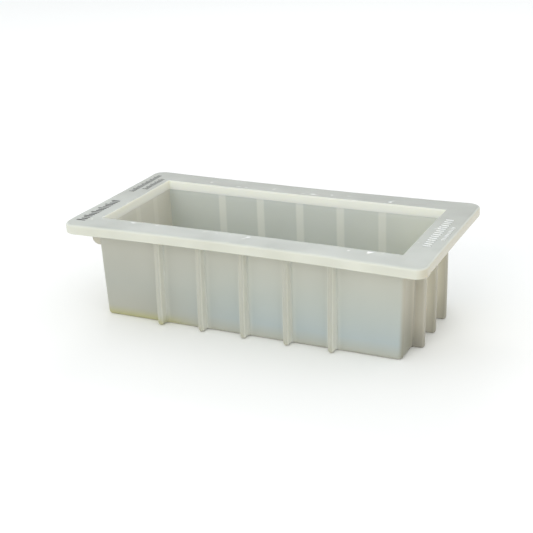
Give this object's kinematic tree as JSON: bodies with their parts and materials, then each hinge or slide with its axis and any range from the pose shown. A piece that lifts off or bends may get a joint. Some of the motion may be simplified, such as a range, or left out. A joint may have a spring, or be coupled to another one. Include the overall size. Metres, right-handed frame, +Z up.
{
  "type": "silicone soap loaf mould",
  "caption": "Milky translucent silicone loaf tub for casting soap, with a wide flat rim, thin leaning walls and upright ribs outside.",
  "frame": {"origin": "middle of the underside of the floor, on the surface the mould stands on", "axes": "+X along the mould's length, +Y across it, +Z up out of the cavity"},
  "size_m": [0.2408, 0.1256, 0.0665],
  "materials": {
    "silicone": "satin, milky translucent silicone"
  },
  "bodies": {
    "root": {"rim_front": "silicone", "rim_back": "silicone", "rim_left": "silicone", "rim_right": "silicone", "wall_front": "silicone", "wall_back": "silicone", "wall_left": "silicone", "wall_right": "silicone", "floor_panel": "silicone", "lug_left": "silicone", "rib_front_1": "silicone", "rib_front_2": "silicone", "rib_front_3": "silicone", "rib_front_4": "silicone", "rib_front_5": "silicone", "rib_back_1": "silicone", "rib_back_2": "silicone", "rib_back_3": "silicone", "rib_back_4": "silicone", "rib_back_5": "silicone", "rib_left_1": "silicone", "rib_left_2": "silicone", "rib_left_3": "silicone", "rib_right_1": "silicone", "rib_right_2": "silicone", "rib_right_3": "silicone"}
  },
  "joints": []
}
